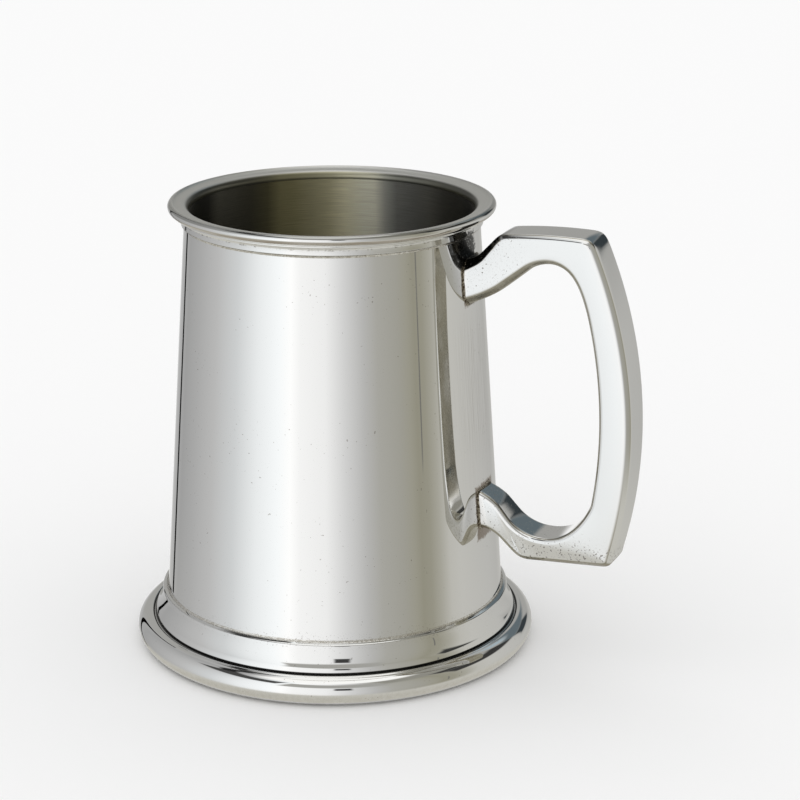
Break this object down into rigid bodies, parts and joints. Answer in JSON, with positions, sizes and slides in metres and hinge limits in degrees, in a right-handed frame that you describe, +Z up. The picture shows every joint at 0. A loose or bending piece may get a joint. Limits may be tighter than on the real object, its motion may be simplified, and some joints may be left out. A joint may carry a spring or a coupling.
{
  "type": "pewter tankard",
  "caption": "Tapered pewter drinking tankard with a flared lip, a moulded foot ring and a cast square-shouldered loop handle.",
  "frame": {"origin": "on the table plane, at the middle of the part's footprint; the drum's axis stands 15.62 mm towards -X of it", "axes": "+Z up along the drum's axis, +X towards the handle, +Y completes the right-handed frame"},
  "size_m": [0.1404, 0.1092, 0.1223],
  "materials": {
    "polished_pewter": "mirror-polished pewter",
    "satin_pewter": "satin pewter with fine circular brushing",
    "cast_pewter": "hand-polished cast pewter with small casting pits",
    "solder": "tarnished soft solder"
  },
  "bodies": {
    "root": {"drum": "polished_pewter", "mouth_ring": "polished_pewter", "foot_ring": "polished_pewter", "floor_disc": "satin_pewter", "handle": "cast_pewter", "rim_solder_seam": "solder", "foot_solder_seam": "solder", "floor_solder_seam": "solder", "upper_handle_solder": "solder", "lower_handle_solder": "solder"}
  },
  "joints": []
}
